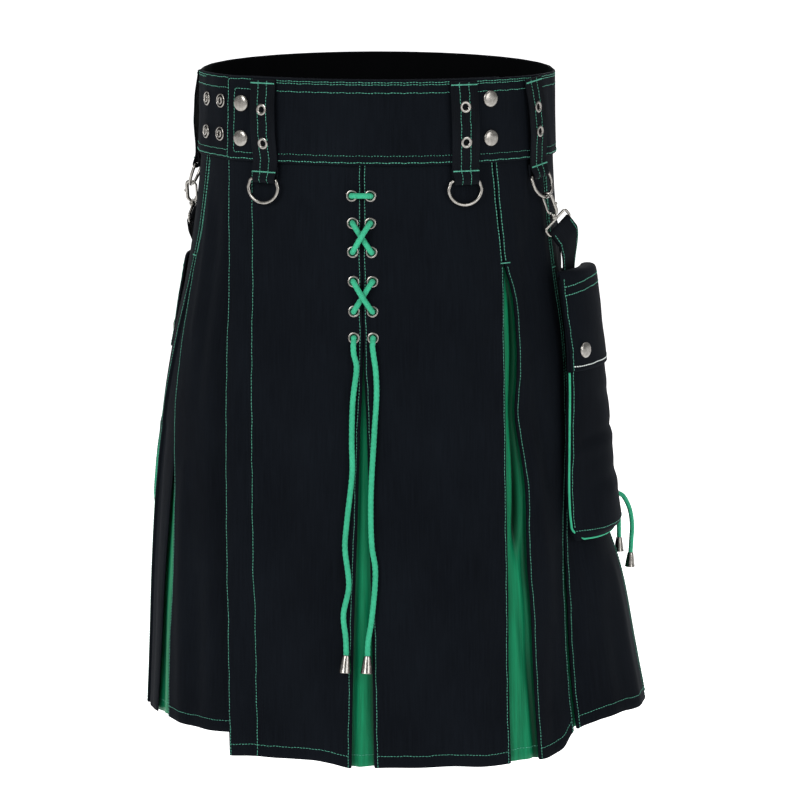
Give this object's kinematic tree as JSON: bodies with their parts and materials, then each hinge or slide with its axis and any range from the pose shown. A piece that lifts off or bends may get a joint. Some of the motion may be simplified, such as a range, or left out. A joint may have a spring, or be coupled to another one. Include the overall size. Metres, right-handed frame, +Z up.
{
  "type": "hybrid kilt",
  "caption": "Black wrap-over apron kilt with a snap waistband, laced centre pleat, green pleat inserts, belt loops with D-rings and hip pouches.",
  "frame": {"origin": "centre of the waist opening, halfway up the waistband", "axes": "+Z up, -Y the front of the garment, +X the wearer's left"},
  "size_m": [0.4793, 0.3654, 0.626],
  "materials": {
    "black_cloth": "matt cotton twill",
    "green_cloth": "satin",
    "webbing": "woven webbing",
    "lace_cord": "braided cord",
    "metal": "nickel plated"
  },
  "bodies": {
    "root": {"apron_left": "black_cloth", "apron_right": "black_cloth", "under_apron": "black_cloth", "panel_hip_left_1": "black_cloth", "panel_hip_left_2": "black_cloth", "panel_back_1": "black_cloth", "panel_back_2": "black_cloth", "panel_hip_right": "black_cloth", "insert_centre": "green_cloth", "insert_a": "green_cloth", "insert_b": "green_cloth", "insert_c": "green_cloth", "insert_d": "green_cloth", "insert_e": "green_cloth", "insert_g": "green_cloth", "waistband": "black_cloth", "belt_loop_front_r": "webbing", "belt_loop_front_l": "webbing", "belt_loop_side_l": "webbing", "d_ring_side_l": "metal", "belt_loop_rear_l": "webbing", "d_ring_rear_l": "metal", "belt_loop_side_r": "webbing", "d_ring_side_r": "metal", "belt_loop_rear_r": "webbing", "d_ring_rear_r": "metal", "snap_tab_top": "metal", "snap_tab_low": "metal", "snap_left_top": "metal", "snap_left_low": "metal", "socket_in_top": "metal", "socket_in_low": "metal", "socket_out_top": "metal", "socket_out_low": "metal", "lace_cross": "lace_cord", "lace_tail_l": "lace_cord", "lace_tip_l": "metal", "lace_tail_r": "lace_cord", "lace_tip_r": "metal", "pouch_bag_l": "black_cloth", "pouch_flap_l": "black_cloth", "pouch_snap_f_l": "metal", "pouch_snap_r_l": "metal", "pouch_hook_f_l": "metal", "pouch_strap_f_l": "webbing", "pouch_hook_r_l": "metal", "pouch_strap_r_l": "webbing", "pouch_lace_l": "lace_cord", "pouch_tip_a": "metal", "pouch_tip_b": "metal", "pouch_bag_r": "black_cloth", "pouch_flap_r": "black_cloth", "pouch_snap_f_r": "metal", "pouch_snap_r_r": "metal", "pouch_hook_f_r": "metal", "pouch_strap_f_r": "webbing", "pouch_hook_r_r": "metal", "pouch_strap_r_r": "webbing"},
    "d_ring_front_l": {"d_ring_front_l": "metal"},
    "d_ring_front_r": {"d_ring_front_r": "metal"}
  },
  "joints": [
    {"name": "ring_swing_l", "type": "hinge", "parent": "root", "child": "d_ring_front_l", "pos_m": [0.08834, -0.11059, -0.0535], "axis": [-0.9036, -0.4283, 0], "range_deg": [0, 150]},
    {"name": "ring_swing_r", "type": "hinge", "parent": "root", "child": "d_ring_front_r", "pos_m": [-0.09282, -0.11033, -0.0535], "axis": [-0.8976, 0.4408, 0], "range_deg": [0, 150]}
  ]
}
